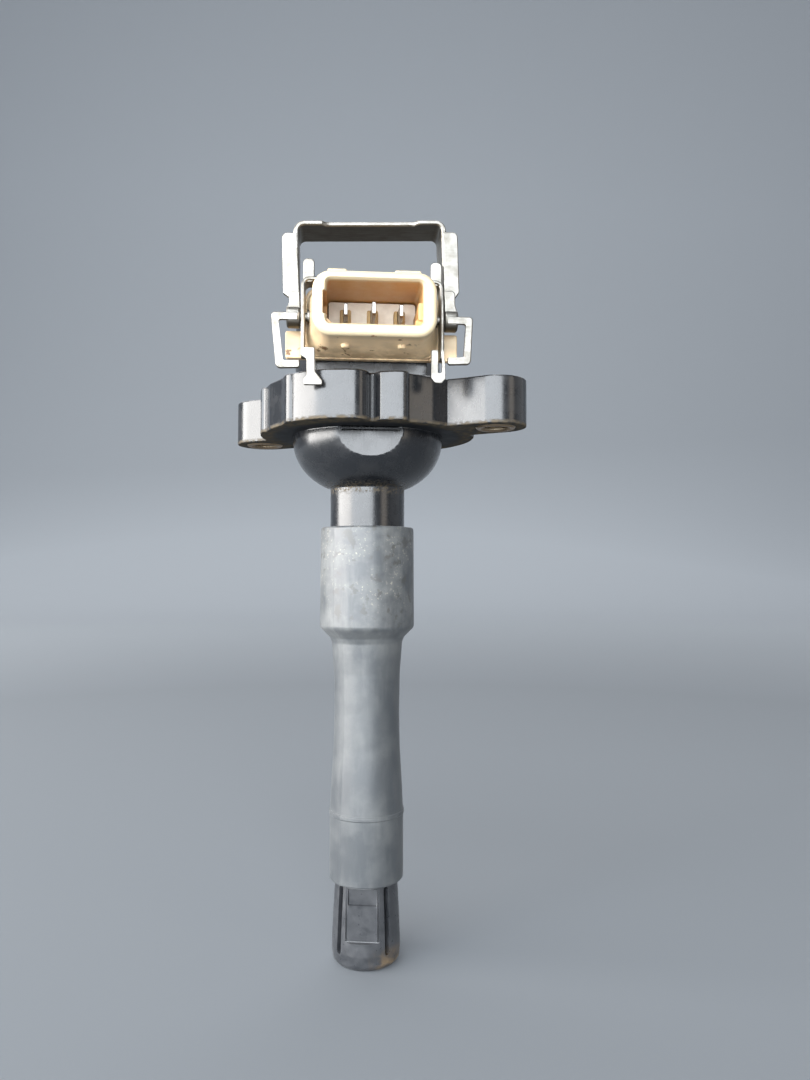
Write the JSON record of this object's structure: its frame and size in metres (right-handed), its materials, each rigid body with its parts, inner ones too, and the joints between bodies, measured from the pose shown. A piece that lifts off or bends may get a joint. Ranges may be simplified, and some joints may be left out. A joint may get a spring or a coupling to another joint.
{
  "type": "ignition coil",
  "caption": "Coil-on-plug ignition coil: flanged potted head with bolt ears, side connector with a steel locking bail, rubber boot and slotted plug end.",
  "frame": {"origin": "on the coil's axis, level with the lower ends of the two ear bushings, where the coil rests on the cylinder head", "axes": "+Z along the coil's axis towards the connector end, -Y out of the connector's mouth, +X to the right when looking into the connector"},
  "size_m": [0.0737, 0.067, 0.182],
  "materials": {
    "black_plastic": "glossy moulded black, fine scratches and dried grime at the flange's lower rim",
    "cover_plastic": "satin black",
    "tip_plastic": "satin black, brown stain at the rim",
    "boot_rubber": "matte dark grey silicone with a moulding line and pale smudges",
    "cream_plastic": "aged cream to tan, darker and more orange inside the mouth",
    "grey_plastic": "greyish brown",
    "bobbin_plastic": "plain moulded",
    "resin": "poured epoxy",
    "plated_steel": "bright zinc-plated sheet, brownish on its shaded side",
    "bushing_steel": "plated steel with brassy tarnish and rust specks",
    "spring_steel": "drawn wire",
    "tinned_blade": "tinned",
    "core_steel": "stacked laminations",
    "magnet": "sintered",
    "copper": "enamelled copper wire",
    "brass": "turned brass",
    "ceramic": "plain ceramic body"
  },
  "bodies": {
    "coil": {"housing": "black_plastic", "top_cover": "cover_plastic", "potting_resin": "resin", "ear_bushing_right": "bushing_steel", "ear_bushing_left": "bushing_steel", "core_frame": "core_steel", "core_center_bar": "core_steel", "bias_magnet": "magnet", "primary_bobbin": "bobbin_plastic", "primary_winding": "copper", "secondary_bobbin": "bobbin_plastic", "secondary_winding": "copper", "primary_lead_left": "copper", "primary_lead_right": "copper", "secondary_lead": "copper", "hv_terminal": "brass", "suppression_resistor": "ceramic", "contact_spring": "spring_steel", "rubber_boot": "boot_rubber", "plug_end_collet": "tip_plastic", "connector_shell": "cream_plastic", "terminal_carrier": "grey_plastic", "terminal_pin_left": "tinned_blade", "terminal_pin_center": "tinned_blade", "terminal_pin_right": "tinned_blade", "connector_bracket": "plated_steel", "pivot_pin_right": "plated_steel", "pivot_pin_left": "plated_steel"},
    "bail": {"locking_bail": "plated_steel"},
    "plug_contact": {"plug_contact": "brass"}
  },
  "joints": [
    {"name": "bail_hinge", "type": "hinge", "parent": "coil", "child": "bail", "pos_m": [0, -0.0265, 0.024], "axis": [1, 0, 0], "range_deg": [0, 92]},
    {"name": "plug_contact_travel", "type": "slide", "parent": "coil", "child": "plug_contact", "axis": [0, 0, 1], "range_m": [0, 0.004], "stiffness_N_per_m": 600, "deforming": ["contact_spring"]}
  ]
}
